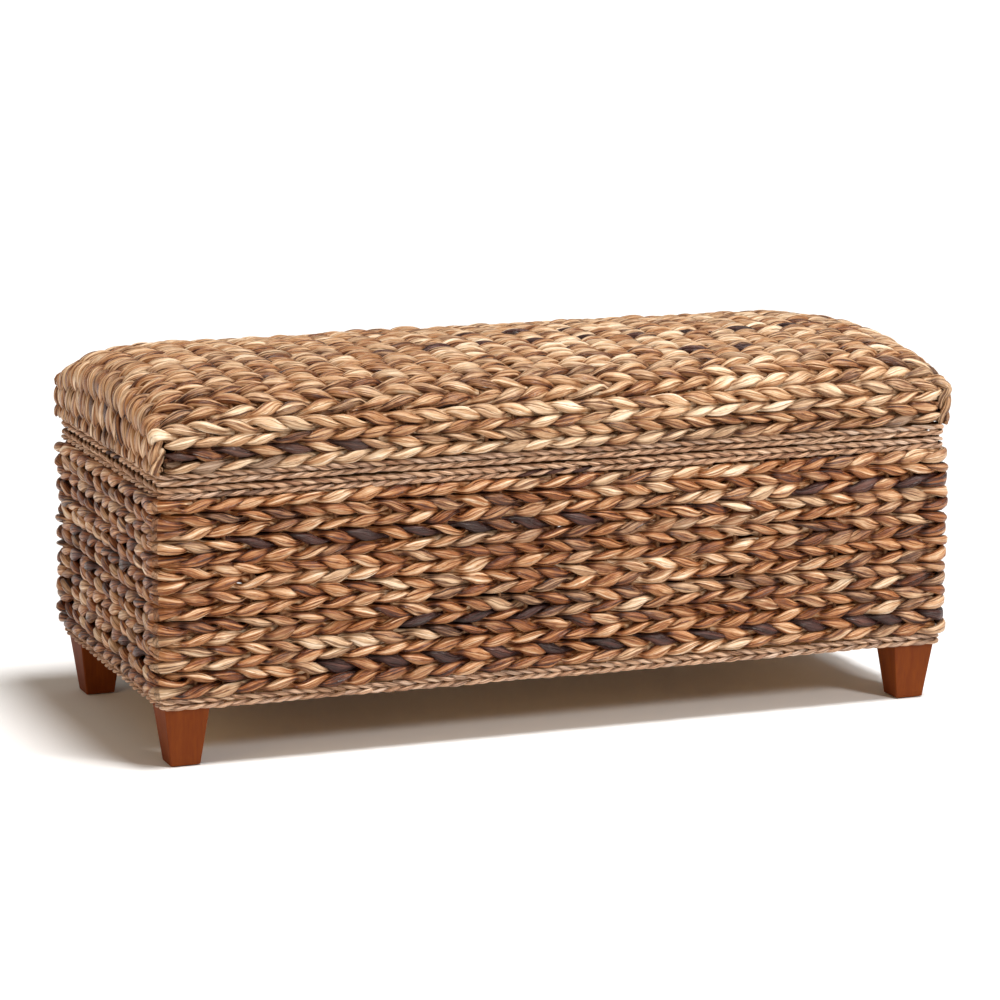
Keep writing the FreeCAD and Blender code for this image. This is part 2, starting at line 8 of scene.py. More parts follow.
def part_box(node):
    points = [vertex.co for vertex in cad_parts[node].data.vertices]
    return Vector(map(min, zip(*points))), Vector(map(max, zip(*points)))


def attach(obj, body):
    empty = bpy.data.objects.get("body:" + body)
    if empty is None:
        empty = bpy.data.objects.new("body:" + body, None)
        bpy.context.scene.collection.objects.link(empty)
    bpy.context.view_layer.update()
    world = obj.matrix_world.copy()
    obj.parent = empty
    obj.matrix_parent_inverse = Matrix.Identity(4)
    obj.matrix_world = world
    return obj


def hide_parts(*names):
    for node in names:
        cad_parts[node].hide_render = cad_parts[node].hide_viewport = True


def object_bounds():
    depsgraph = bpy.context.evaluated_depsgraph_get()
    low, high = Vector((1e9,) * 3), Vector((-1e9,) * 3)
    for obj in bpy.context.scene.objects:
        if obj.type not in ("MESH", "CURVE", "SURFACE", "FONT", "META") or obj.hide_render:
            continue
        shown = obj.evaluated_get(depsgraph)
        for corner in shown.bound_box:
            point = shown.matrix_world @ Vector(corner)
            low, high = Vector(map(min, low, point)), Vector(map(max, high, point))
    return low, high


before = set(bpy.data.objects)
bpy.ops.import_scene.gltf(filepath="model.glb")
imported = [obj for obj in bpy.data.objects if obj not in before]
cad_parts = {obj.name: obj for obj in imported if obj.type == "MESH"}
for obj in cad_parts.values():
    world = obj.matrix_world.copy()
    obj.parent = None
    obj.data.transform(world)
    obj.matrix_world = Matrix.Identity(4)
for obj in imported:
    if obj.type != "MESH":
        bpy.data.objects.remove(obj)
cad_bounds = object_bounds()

# Wicker storage trunk. The woven skin is made of real strands: each row is a pair of leaf bundles
# that change places between one stake and the next, and neighbouring rows twist opposite ways.
# Lengths are in metres.

MM = 0.001

# ---------------------------------------------------------------------------------------------
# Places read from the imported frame
# ---------------------------------------------------------------------------------------------

LOW, HIGH = cad_bounds
HALF_LENGTH = HIGH.x
HALF_DEPTH = max(HIGH.y, -LOW.y)
HEIGHT = HIGH.z
WALL_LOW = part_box("body_weave_front")[0].z
WALL_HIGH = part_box("body_weave_front")[1].z
LID_WALL_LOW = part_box("lid_weave_front")[0].z
WEAVE_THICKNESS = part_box("body_weave_left")[1].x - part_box("body_weave_left")[0].x
TRIM_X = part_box("body_top_trim")[1].x
TRIM_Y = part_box("body_top_trim")[1].y

BODY_X = HALF_LENGTH - WEAVE_THICKNESS / 2 + 3 * MM
BODY_Y = HALF_DEPTH - WEAVE_THICKNESS / 2
LID_X = HALF_LENGTH - WEAVE_THICKNESS / 2 + 7.5 * MM
LID_Y = HALF_DEPTH - WEAVE_THICKNESS / 2
LID_TOP = HEIGHT - WEAVE_THICKNESS / 2 - 1.5 * MM

# stakes: upright bars that the strands twist round
LONG_STAKES = 28
SHORT_STAKES = 11
LONG_REACH = 474 * MM
SHORT_REACH = 182 * MM
STAKE_PITCH = 2 * LONG_REACH / (LONG_STAKES - 1)
CORNER_RADIUS = 20 * MM

# dome of the lid, on the middle surface of the weave
DOME_CROWN = 21.7 * MM
DOME_DROP = 34 * MM
END_SHOULDER = 130 * MM
SIDE_SHOULDER = 55 * MM

# ---------------------------------------------------------------------------------------------
# Mesh building
# ---------------------------------------------------------------------------------------------


class TubeMesh:
    """Collects closed tubes and makes one mesh of them, with a fibre and a tint on each point."""

    def __init__(self):
        self.points, self.fibres, self.tints = [], [], []
        self.quads, self.caps, self.cap_points = [], [], []
        self.count = 0

    def add(self, rings, fibres, tints):
        """rings, fibres and tints are all (along, around, 3)."""
        along, around, _ = rings.shape
        self.points.append(rings.reshape(-1, 3))
        self.fibres.append(fibres.reshape(-1, 3))
        self.tints.append(tints.reshape(-1, 3))
        index = self.count + np.arange(along * around).reshape(along, around)
        turned = np.roll(index, -1, axis=1)
        quads = np.stack([index[:-1], turned[:-1], turned[1:], index[1:]], axis=-1)
        self.quads.append(quads.reshape(-1, 4))
        self.caps.append(index[0][::-1])
        self.caps.append(index[-1])
        self.count += along * around

    def build(self, name, material):
        points = np.concatenate(self.points)
        quads = np.concatenate(self.quads)
        loops = [quads.reshape(-1)] + self.caps
        totals = [4] * len(quads) + [len(cap) for cap in self.caps]
        starts = np.concatenate([[0], np.cumsum(totals)[:-1]])
        loops = np.concatenate(loops)
        mesh = bpy.data.meshes.new(name)
        mesh.vertices.add(len(points))
        mesh.vertices.foreach_set("co", points.astype(np.float32).ravel())
        mesh.loops.add(len(loops))
        mesh.loops.foreach_set("vertex_index", loops.astype(np.int32))
        mesh.polygons.add(len(totals))
        mesh.polygons.foreach_set("loop_start", starts.astype(np.int32))
        mesh.update(calc_edges=True)
        smooth = np.ones(len(totals), bool)
        smooth[len(quads):] = False
        mesh.polygons.foreach_set("use_smooth", smooth)
        for attribute, values in (("fibre", self.fibres), ("tint", self.tints)):
            layer = mesh.attributes.new(attribute, "FLOAT_VECTOR", "POINT")
            layer.data.foreach_set("vector", np.concatenate(values).astype(np.float32).ravel())
        self.mark_caps_sharp(mesh)
        mesh.materials.append(material)
        piece = bpy.data.objects.new(name, mesh)
        bpy.context.scene.collection.objects.link(piece)
        return piece

    def mark_caps_sharp(self, mesh):
        """The rim of every end cap is a sharp edge, so the tube's side stays smooth up to it."""
        cap_of = np.full(self.count, -1)
        for number, cap in enumerate(self.caps):
            cap_of[cap] = number
        ends = np.zeros(len(mesh.edges) * 2, np.int32)
        mesh.edges.foreach_get("vertices", ends)
        ends = cap_of[ends.reshape(-1, 2)]
        sharp = (ends[:, 0] >= 0) & (ends[:, 0] == ends[:, 1])
        layer = mesh.attributes.new("sharp_edge", "BOOLEAN", "EDGE")
        layer.data.foreach_set("value", sharp)


def unit(vectors):
    return vectors / np.maximum(np.linalg.norm(vectors, axis=-1, keepdims=True), 1e-12)


def per_stitch(values, stitch):
    """Values given once a stitch, eased from each stitch to the next."""
    low = np.floor(stitch).astype(int)
    ease = stitch - low
    ease = ease * ease * (3 - 2 * ease)
    return values[low % len(values)] * (1 - ease) + values[(low + 1) % len(values)] * ease


class Strand:
    """Sizes of a strand and of the twist of a pair. In front of a stake a strand is wide and flat;
    between two stakes it is narrow and deep, and lies against its partner. Its painted shade is how
    much darker its colour is painted deep between the strands, where they shade each other."""

    def __init__(self, wide, flat, narrow, deep, swing_out, swing_up, uneven, painted_shade, around=14):
        self.wide, self.flat = wide, flat
        self.narrow, self.deep = narrow, deep
        self.swing_out, self.swing_up = swing_out, swing_up
        self.uneven = uneven
        self.painted_shade = painted_shade
        self.around = around


# the strand's wave: the share of a plain sine in it, how round the rest's peaks are, and a power
# below 1 that keeps the strand out for longer in front of a stake
SINE_SHARE = 0.35
PEAK = 0.97
SWING_POWER = 0.75

# how unevenly a strand runs, from stitch to stitch
PATH_WANDER = 0.7 * MM
TURN_WANDER = 0.30
FATNESS_SPREAD = 0.16
RISE_SPREAD = 0.20
ROLL_QUICK = 0.5
ROLL_SLOW = 0.9

# behind its stake a strand spreads out, which closes the gaps between the rows
HIDDEN_SPREAD = 1.45

# the folds and lumps round a strand, with their depths as parts of its radius
FOLDS = 3
FOLD_DEPTH = 0.15
FOLD_MEAN = 0.64
LUMPS = 5
LUMP_TWIST = 2.0
LUMP_RUN = 1.7
LUMP_DEPTH = 0.035

# painted shade: the colour is darkened where a strand's face turns in, and less strongly along its
# flanks, where the strands shade each other
PAINTED_SHADE_FACE = 0.5
PAINTED_SHADE_POWER = 1.5
FLANK_PAINTED_SHADE = 0.55
FLANK_SHADE_POWER = 4

# the length of path over which the fibres' pattern runs on by 1, and the span of its offsets
FIBRE_LENGTH = 30 * MM
FIBRE_OFFSETS = 900


def softened(sine):
    """A wave between a sine and a zigzag, so a strand crosses over almost in a straight line."""
    return SINE_SHARE * sine + (1 - SINE_SHARE) * (2 / math.pi) * np.arcsin(PEAK * sine)


def strand_centre(path, outward, stitch, turn, twist, strand, draws, press):
    """The strand's own middle line, which winds round that of its row."""
    face = np.cos(turn)
    out_by = strand.swing_out * press * np.sign(face) * np.abs(face) ** SWING_POWER
    out_by = out_by + PATH_WANDER * per_stitch(draws[0], stitch)
    up_by = twist * strand.swing_up * softened(np.sin(turn))
    up_by = up_by * (1 + RISE_SPREAD * per_stitch(draws[3], stitch))
    up_by = up_by + PATH_WANDER * per_stitch(draws[1], stitch)
    up = unit(np.cross(outward, np.gradient(path, axis=0)))
    return path + outward * out_by[:, None] + up * up_by[:, None]


def strand_sizes(stitch, face, strand, draws, press):
    """Half the strand's width across the row, and half its thickness out of the row."""
    full = face**2
    fat = 1 + FATNESS_SPREAD * per_stitch(draws[2], stitch)
    wide = fat * (strand.narrow + (strand.wide - strand.narrow) * full)
    wide = np.where(face < 0, np.maximum(wide, HIDDEN_SPREAD * strand.wide * full), wide)
    high = press * (2 - fat) * (strand.deep + (strand.flat - strand.deep) * full)
    return wide, high


def folded_section(spin, turn, offset):
    """Relative radius round the strand: the folds of the leaf, and small lumps that wander."""
    turn = turn[:, None]
    folds = np.abs(np.cos(FOLDS / 2 * spin)) - FOLD_MEAN
    lumps = np.cos(LUMPS * spin + LUMP_TWIST * turn) * np.cos(LUMP_RUN * turn + offset)
    return 1 + FOLD_DEPTH * folds + LUMP_DEPTH * lumps


def strand_rings(centre, outward, sizes, crease, around, closed):
    """Points round the strand at each sample of its middle line."""
    wide, high = sizes
    tangent = unit(np.gradient(centre, axis=0))
    if closed:
        wrapped = np.concatenate([centre[-2:-1], centre, centre[1:2]])
        tangent = unit(wrapped[2:] - wrapped[:-2])
    facing = unit(outward - tangent * np.sum(outward * tangent, axis=1)[:, None])
    across = np.cross(facing, tangent)
    return (
        centre[:, None, :]
        + facing[:, None, :] * (np.cos(around) * crease * high[:, None])[..., None]
        + across[:, None, :] * (np.sin(around) * crease * wide[:, None])[..., None]
    )


def strand_fibres(path, spin, rng):
    """Coordinates for the fibres' pattern: two round the strand, the third along it."""
    distance = np.concatenate([[0], np.cumsum(np.linalg.norm(np.diff(path, axis=0), axis=1))])
    along = distance[:, None] / FIBRE_LENGTH + rng.random() * FIBRE_OFFSETS
    return np.stack([np.cos(spin), np.sin(spin), np.broadcast_to(along, spin.shape)], axis=-1)


def strand_tints(stitch, face, around, strand, number, rng):
    """The stitches' tints, with painted shade darkening them deep between the strands and along
    their flanks.
    """
    nearest = np.floor(stitch + 0.5).astype(int) % number
    tints = np.repeat(stitch_tints(number, rng)[nearest][:, None, :], strand.around, axis=1)
    # painted shade: the tint's shade value is lowered where the strand turns in and along its flanks
    recess_shade = 1 - np.clip(np.abs(face) / PAINTED_SHADE_FACE, 0, 1) ** PAINTED_SHADE_POWER
    flank_shade = FLANK_PAINTED_SHADE * np.abs(np.sin(around)) ** FLANK_SHADE_POWER
    tints[:, :, 0] -= strand.painted_shade * np.maximum(recess_shade[:, None], flank_shade[None, :])
    return tints


def twined_strand(path, outward, count, phase, twist, strand, rng, closed, press=1.0):
    """One strand of a twined row. path and outward are (n, 3) samples of the row's middle line,
    count the stake number at each sample, phase 0 or 1 the stake it first passes in front of.
    press below 1 flattens the row. Returns its rings, fibre coordinates and tints."""
    stitch = (count + phase) / 2
    number = int(np.ceil(stitch.max() - stitch.min())) + 2
    if closed:
        number = round(stitch[-1] - stitch[0])
    draws = rng.normal(0, 1, (8, number)).clip(-2, 2) * strand.uneven
    turn = 2 * math.pi * stitch + TURN_WANDER * per_stitch(draws[6], stitch)
    face = np.cos(turn)
    around = np.linspace(0, 2 * math.pi, strand.around, endpoint=False)
    roll = ROLL_QUICK * per_stitch(draws[4], stitch) + ROLL_SLOW * per_stitch(draws[5], stitch / 2)
    spin = around[None, :] + roll[:, None]
    centre = strand_centre(path, outward, stitch, turn, twist, strand, draws, press)
    sizes = strand_sizes(stitch, face, strand, draws, press)
    crease = folded_section(spin, turn, draws[7, 0])
    rings = strand_rings(centre, outward, sizes, crease, around, closed)
    fibres = strand_fibres(path, spin, rng)
    tints = strand_tints(stitch, face, around, strand, number, rng)
    return rings, fibres, tints


# the chance that a stitch starts a new leaf, and how much of its look comes from that leaf
NEW_LEAF = 0.22
LEAF_SHARE = 0.55


def stitch_tints(number, rng):
    """Shade, rarity and hue of each stitch, from 0 to 1. A leaf runs on for a few stitches before
    the next one is laid in, so neighbouring stitches of a strand mostly look alike."""
    leaf = np.cumsum(rng.random(number) < NEW_LEAF)
    leaves = rng.random((leaf[-1] + 1, 3))[leaf]
    own = rng.random((number, 3))
    own[:, 1] = leaves[:, 1]
    return LEAF_SHARE * leaves + (1 - LEAF_SHARE) * own


# ---------------------------------------------------------------------------------------------
# Materials
# ---------------------------------------------------------------------------------------------


def srgb(red, green, blue):
    """A linear colour from 0 to 255 display values."""

    def linear(channel):
        channel /= 255
        if channel <= 0.04045:
            return channel / 12.92
        return ((channel + 0.055) / 1.055) ** 2.4

    return linear(red), linear(green), linear(blue), 1.0


# the amber lacquer tints the light that glances off it
WARM_GLOSS = (1.0, 0.93, 0.87, 1.0)


class Graph:
    """A new material's nodes, with short ways to add the usual ones."""

    def __init__(self, name):
        self.material = bpy.data.materials.new(name)
        self.material.use_nodes = True
        self.nodes = self.material.node_tree.nodes
        self.links = self.material.node_tree.links
        self.shader = self.nodes["Principled BSDF"]

    def attribute(self, name):
        node = self.nodes.new("ShaderNodeAttribute")
        node.attribute_name = name
        return node.outputs["Vector"]

    def object_place(self):
        return self.nodes.new("ShaderNodeTexCoord").outputs["Object"]

    def split(self, vector):
        node = self.nodes.new("ShaderNodeSeparateXYZ")
        self.links.new(vector, node.inputs[0])
        return node.outputs

    def math(self, operation, first, second=0.0):
        node = self.nodes.new("ShaderNodeMath")
        node.operation = operation
        for socket, value in zip(node.inputs, (first, second)):
            if isinstance(value, (int, float)):
                socket.default_value = value
            else:
                self.links.new(value, socket)
        return node.outputs[0]

    def scaled(self, value, factor, offset):
        return self.math("ADD", self.math("MULTIPLY", value, factor), offset)

    def centred(self, value, amount):
        """A value from 0 to 1, moved to lie round 0 and spread over amount."""
        return self.math("MULTIPLY", self.math("SUBTRACT", value, 0.5), amount)

    def noise(self, vector, scale, detail, roughness):
        node = self.nodes.new("ShaderNodeTexNoise")
        node.inputs["Scale"].default_value = scale
        node.inputs["Detail"].default_value = detail
        node.inputs["Roughness"].default_value = roughness
        self.links.new(vector, node.inputs["Vector"])
        return node.outputs["Fac"]

    def stretched_noise(self, vector, stretch, detail, roughness):
        mapping = self.nodes.new("ShaderNodeMapping")
        mapping.inputs["Scale"].default_value = stretch
        self.links.new(vector, mapping.inputs["Vector"])
        return self.noise(mapping.outputs["Vector"], 1.0, detail, roughness)

    def step(self, value, low, high, interpolation="LINEAR"):
        """0 below low, 1 above high."""
        node = self.nodes.new("ShaderNodeMapRange")
        node.interpolation_type = interpolation
        node.inputs["From Min"].default_value = low
        node.inputs["From Max"].default_value = high
        self.links.new(value, node.inputs["Value"])
        return node.outputs["Result"]

    def ramp(self, value, stops):
        node = self.nodes.new("ShaderNodeValToRGB")
        elements = node.color_ramp.elements
        while len(elements) < len(stops):
            elements.new(0.5)
        for element, (place, colour) in zip(elements, stops):
            element.position = place
            element.color = colour
        self.links.new(value, node.inputs["Fac"])
        return node.outputs["Color"]

    def mixed(self, factor, first, second):
        node = self.nodes.new("ShaderNodeMix")
        node.data_type = "RGBA"
        self.links.new(factor, node.inputs["Factor"])
        self.links.new(first, node.inputs["A"])
        self.links.new(second, node.inputs["B"])
        return node.outputs["Result"]

    def feed(self, value, name):
        self.links.new(value, self.shader.inputs[name])

    def bump(self, height, strength, distance):
        node = self.nodes.new("ShaderNodeBump")
        node.inputs["Strength"].default_value = strength
        node.inputs["Distance"].default_value = distance
        self.links.new(height, node.inputs["Height"])
        self.feed(node.outputs["Normal"], "Normal")


def leaf_crease(graph, place, patches):
    """0 in the folds of the leaf, which run along the strand and wander, and 1 away from them; it
    places both the painted shade in the folds and the bump.
    """
    across, out, _ = graph.split(place)
    angle = graph.math("ARCTAN2", out, across)
    wander = graph.math("MULTIPLY", patches, 3.0)
    folded = graph.math("ADD", graph.math("MULTIPLY", angle, 2.5), wander)
    folded = graph.math("ABSOLUTE", graph.math("COSINE", folded))
    return graph.step(folded, 0.0, 0.32, "SMOOTHSTEP")


def leaf_material(name, honey_stops, straw_stops, gloss, spread):
    """Lacquered dry leaf strand. Every stitch has its own shade and leans to a honey or a straw hue,
    a few are nearly black, long fibres vary the shade, and the folds of the leaf are bumped and
    darkened with painted shade into narrow dark creases. gloss is the least roughness, spread how
    far the shades differ."""
    graph = Graph(name)
    shade_pick, dark_pick, hue_pick = graph.split(graph.attribute("tint"))
    place = graph.attribute("fibre")
    streaks = graph.stretched_noise(place, (1.9, 1.9, 0.35), 4.0, 0.62)
    fine = graph.stretched_noise(place, (6.0, 6.0, 0.8), 3.0, 0.6)
    patches = graph.stretched_noise(place, (0.8, 0.8, 1.3), 3.0, 0.6)
    crease = leaf_crease(graph, place, patches)

    shade = graph.math("ADD", graph.centred(shade_pick, spread), 0.5)
    for value, amount in ((streaks, 1.7), (patches, 0.7), (fine, 0.5)):
        shade = graph.math("ADD", shade, graph.centred(value, amount))
    # painted shade: the colour is darkened in the folds of the leaf
    fold_painted_shade = graph.math("MULTIPLY", graph.math("SUBTRACT", 1.0, crease), 0.17)
    shade = graph.math("SUBTRACT", shade, fold_painted_shade)
    hue = graph.math("ADD", hue_pick, graph.centred(patches, 0.6))

    straw_share = graph.step(hue, 0.45, 0.8)
    colour = graph.mixed(straw_share, graph.ramp(shade, honey_stops), graph.ramp(shade, straw_stops))
    colour = graph.mixed(graph.step(dark_pick, 0.95, 0.97), colour, graph.ramp(shade, DARK_STOPS))
    graph.feed(colour, "Base Color")
    graph.feed(graph.scaled(fine, 0.30, gloss), "Roughness")
    graph.shader.inputs["Specular IOR Level"].default_value = 0.42
    graph.shader.inputs["Specular Tint"].default_value = WARM_GLOSS

    height = graph.math("ADD", graph.math("MULTIPLY", crease, 0.9), streaks)
    graph.bump(graph.math("ADD", height, fine), 1.0, 0.0013)
    return graph.material


def wood_material(name, stops, grain_axis, roughness):
    """Planed wood with long grain along one axis of the object's own space."""
    graph = Graph(name)
    place = graph.object_place()
    stretch = [70.0, 70.0, 70.0]
    stretch[grain_axis] = 4.0
    grain = graph.stretched_noise(place, stretch, 5.0, 0.6)
    stretch = [420.0, 420.0, 420.0]
    stretch[grain_axis] = 14.0
    pores = graph.stretched_noise(place, stretch, 2.0, 0.5)
    figure = graph.math("MULTIPLY", pores, 0.35)
    figure = graph.math("ADD", figure, graph.math("MULTIPLY", grain, 0.65))
    graph.feed(graph.ramp(figure, stops), "Base Color")
    graph.feed(graph.scaled(pores, 0.18, roughness), "Roughness")
    graph.shader.inputs["Specular IOR Level"].default_value = 0.18
    graph.shader.inputs["Specular Tint"].default_value = WARM_GLOSS
    graph.bump(figure, 0.25, 0.0005)
    return graph.material


def metal_material(name, light, dark):
    """Aged brass-plated steel: mottled, with worn lighter spots."""
    graph = Graph(name)
    mottle = graph.noise(graph.object_place(), 180.0, 4.0, 0.6)
    graph.feed(graph.ramp(mottle, [(0.3, dark), (0.7, light)]), "Base Color")
    graph.feed(graph.scaled(mottle, 0.3, 0.22), "Roughness")
    graph.shader.inputs["Metallic"].default_value = 1.0
    return graph.material


def plain_material(name, light, dark, scale, roughness, bump_distance):
    """Felt or moulded plastic: a fine mottle with a little bump."""
    graph = Graph(name)
    mottle = graph.noise(graph.object_place(), scale, 4.0, 0.7)
    graph.feed(graph.ramp(mottle, [(0.3, dark), (0.7, light)]), "Base Color")
    graph.shader.inputs["Roughness"].default_value = roughness
    graph.bump(mottle, 0.5, bump_distance)
    return graph.material


DARK_STOPS = [
    (0.10, srgb(32, 13, 12)),
    (0.45, srgb(60, 29, 25)),
    (0.80, srgb(104, 64, 52)),
    (1.00, srgb(164, 130, 114)),
]
BODY_LEAF = leaf_material(
    "body_leaf",
    [
        (0.00, srgb(40, 15, 8)),
        (0.20, srgb(86, 38, 13)),
        (0.40, srgb(138, 80, 38)),
        (0.60, srgb(180, 127, 83)),
        (0.80, srgb(214, 178, 142)),
        (1.00, srgb(240, 220, 194)),
    ],
    [
        (0.00, srgb(44, 22, 14)),
        (0.22, srgb(98, 64, 44)),
        (0.45, srgb(160, 122, 90)),
        (0.70, srgb(210, 176, 140)),
        (1.00, srgb(244, 224, 200)),
    ],
    0.15,
    0.55,
)
LID_LEAF = leaf_material(
    "lid_leaf",
    [
        (0.00, srgb(44, 18, 12)),
        (0.18, srgb(98, 52, 26)),
        (0.38, srgb(156, 106, 66)),
        (0.60, srgb(196, 154, 114)),
        (0.80, srgb(224, 194, 160)),
        (1.00, srgb(244, 226, 202)),
    ],
    [
        (0.00, srgb(50, 26, 18)),
        (0.20, srgb(114, 78, 54)),
        (0.44, srgb(178, 142, 108)),
        (0.70, srgb(222, 192, 158)),
        (1.00, srgb(248, 230, 204)),
    ],
    0.15,
    0.50,
)
TRIM_LEAF = leaf_material(
    "trim_cord",
    [
        (0.00, srgb(92, 52, 36)),
        (0.25, srgb(168, 122, 92)),
        (0.55, srgb(212, 170, 136)),
        (1.00, srgb(242, 214, 186)),
    ],
    [
        (0.00, srgb(88, 54, 42)),
        (0.25, srgb(164, 126, 102)),
        (0.55, srgb(212, 178, 152)),
        (1.00, srgb(244, 222, 202)),
    ],
    0.34,
    0.35,
)
STAKE_WOOD = wood_material(
    "stake_rattan", [(0.3, srgb(92, 60, 38)), (0.7, srgb(146, 106, 74))], 2, 0.5
)
FOOT_WOOD = wood_material(
    "foot_mahogany",
    [(0.25, srgb(92, 33, 1)), (0.5, srgb(108, 47, 4)), (0.75, srgb(124, 59, 9))],
    2,
    0.55,
)
FRAME_STOPS = [(0.25, srgb(120, 84, 50)), (0.5, srgb(150, 110, 70)), (0.75, srgb(176, 136, 94))]
FRAME_WOOD_X = wood_material("frame_wood_x", FRAME_STOPS, 0, 0.5)
FRAME_WOOD_Y = wood_material("frame_wood_y", FRAME_STOPS, 1, 0.5)
FRAME_WOOD_Z = wood_material("frame_wood_z", FRAME_STOPS, 2, 0.5)
FLOOR_WOOD = wood_material(
    "floor_plywood", [(0.25, srgb(150, 112, 72)), (0.75, srgb(196, 158, 112))], 0, 0.5
)
HINGE_METAL = metal_material("aged_brass", srgb(178, 148, 96), srgb(96, 76, 46))
PAD_FELT = plain_material("pad_felt", srgb(70, 50, 36), srgb(40, 28, 20), 2600.0, 0.95, 0.0004)
GLIDE_PLASTIC = plain_material(
    "glide_plastic", srgb(58, 54, 50), srgb(40, 38, 36), 900.0, 0.5, 0.0001
)


def dress(material, *prefixes):
    """Give a material to every CAD node whose name starts with one of the prefixes."""
    for name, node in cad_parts.items():
        if name.startswith(prefixes):
            node.data.materials.clear()
            node.data.materials.append(material)


dress(FOOT_WOOD, "foot_front", "foot_back")
dress(GLIDE_PLASTIC, "foot_glides")
dress(HINGE_METAL, "foot_bolts", "hinge_", "stay_")
dress(FRAME_WOOD_Z, "corner_post")
for end in ("front", "back"):
    dress(FRAME_WOOD_X, f"bottom_rail_{end}", f"top_rail_{end}", f"lid_rail_{end}")
for end in ("left", "right"):
    dress(FRAME_WOOD_Y, f"bottom_rail_{end}", f"top_rail_{end}", f"lid_rail_{end}")
dress(FRAME_WOOD_Y, "floor_batten", "lid_rib")
dress(FRAME_WOOD_X, "lid_ridge_slat")
dress(FLOOR_WOOD, "floor_panel")
dress(PAD_FELT, "lid_rest_pads")
dress(STAKE_WOOD, "body_stakes")

# ---------------------------------------------------------------------------------------------
# Rows round the body
# ---------------------------------------------------------------------------------------------

# samples of a row from one stake to the next
SAMPLES = 8

# the stake numbers that each wall runs between
WALLS = {
    "front": (0, LONG_STAKES + 1),
    "right": (LONG_STAKES + 1, LONG_STAKES + SHORT_STAKES + 2),
    "back": (LONG_STAKES + SHORT_STAKES + 2, 2 * LONG_STAKES + SHORT_STAKES + 3),
    "left": (2 * LONG_STAKES + SHORT_STAKES + 3, 2 * LONG_STAKES + 2 * SHORT_STAKES + 4),
}
STATIONS = 2 * (LONG_STAKES + SHORT_STAKES) + 4


def ring_stations(straight_x, straight_y, quarter):
    """Distances of the stakes along a rounded rectangle, from the front left corner and back."""
    stations = []
    along = 0.0
    for straight, reach, stakes in (
        (straight_x, LONG_REACH, LONG_STAKES),
        (straight_y, SHORT_REACH, SHORT_STAKES),
    ) * 2:
        stations.append(along)
        spaced = np.linspace(-reach, reach, stakes) + along + quarter / 2 + straight
        stations.extend(spaced)
        along += quarter + 2 * straight
    stations.append(along)
    return stations


def ring_point(rest, straight_x, straight_y, radius):
    """A point of a rounded rectangle and its outward direction, by the distance from the start
    of the front left corner's arc."""
    quarter = math.pi / 2 * radius
    spans = (2 * straight_x, 2 * straight_y) * 2
    for side, (corner_x, corner_y) in enumerate(((-1, -1), (1, -1), (1, 1), (-1, 1))):
        angle = math.pi + math.pi / 2 * side + min(rest / radius, math.pi / 2)
        beyond = max(rest - quarter, 0.0)
        if beyond <= spans[side]:
            break
        rest = beyond - spans[side]
    travel = angle + math.pi / 2
    x = corner_x * straight_x + radius * math.cos(angle) + beyond * math.cos(travel)
    y = corner_y * straight_y + radius * math.sin(angle) + beyond * math.sin(travel)
    return (x, y, 0), (math.cos(angle), math.sin(angle), 0)


def ring_line(reach_x, reach_y, radius, samples):
    """Positions and outward directions round a rounded rectangle, sampled by stake number.
    Stake 0 is the front left corner's, and the numbers run to the right along the front."""
    quarter = math.pi / 2 * radius
    straight_x = reach_x - radius
    straight_y = reach_y - radius
    stations = ring_stations(straight_x, straight_y, quarter)
    numbers = np.arange(STATIONS * samples + 1) / samples
    places = np.interp(numbers, np.arange(STATIONS + 1), stations)
    rests = (places + quarter / 2) % stations[-1]
    found = np.array([ring_point(rest, straight_x, straight_y, radius) for rest in rests])
    return found[:, 0], found[:, 1], numbers


# how far the rows swell out where they turn a corner, and over how many stakes
CORNER_BULGE = 6.5 * MM
BULGE_STAKES = 0.6


def corner_bulge(numbers):
    """How far the rows swell outwards where they turn the four corners."""
    bulge = np.zeros(len(numbers))
    for corner in [first for first, _ in WALLS.values()] + [STATIONS]:
        bulge += np.exp(-(((numbers - corner) / BULGE_STAKES) ** 2))
    return CORNER_BULGE * bulge


# how far a row strays from its level, and how many times on its way round
ROW_DRIFT = 0.7 * MM
RING_DRIFTS = 16

BODY_ROWS = 15
BODY_SEED = 11
BODY_STRAND = Strand(7.6 * MM, 5.6 * MM, 4.3 * MM, 6.4 * MM, 5.6 * MM, 4.7 * MM, 0.95, 0.5)


def weave_body():
    """The four woven walls, from rows that run right round the body."""
    points, outward, numbers = ring_line(BODY_X, BODY_Y, CORNER_RADIUS, SAMPLES)
    points = points + outward * corner_bulge(numbers)[:, None]
    pitch = (WALL_HIGH - WALL_LOW) / BODY_ROWS
    walls = {wall: TubeMesh() for wall in WALLS}
    rng = np.random.default_rng(BODY_SEED)
    for row in range(BODY_ROWS):
        path = points.copy()
        drift = per_stitch(
            rng.normal(0, ROW_DRIFT, RING_DRIFTS), numbers / STATIONS * RING_DRIFTS
        )
        path[:, 2] = WALL_HIGH - (row + 0.5) * pitch + drift
        twist = 1 if row % 2 == 0 else -1
        for phase in (0, 1):
            rings, fibres, tints = twined_strand(
                path, outward, numbers, phase, twist, BODY_STRAND, rng, True
            )
            for wall, (first, last) in WALLS.items():
                low = int((first + 0.5) * SAMPLES)
                high = int((last + 0.5) * SAMPLES)
                picked = np.arange(low, high + 1) % (STATIONS * SAMPLES)
                walls[wall].add(rings[picked], fibres[picked], tints[picked])
    for wall, tubes in walls.items():
        piece = tubes.build(f"woven_body_{wall}", BODY_LEAF)
        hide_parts(f"body_weave_{wall}")
        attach(piece, "trunk_body")


weave_body()

# ---------------------------------------------------------------------------------------------
# Thin trims
# ---------------------------------------------------------------------------------------------

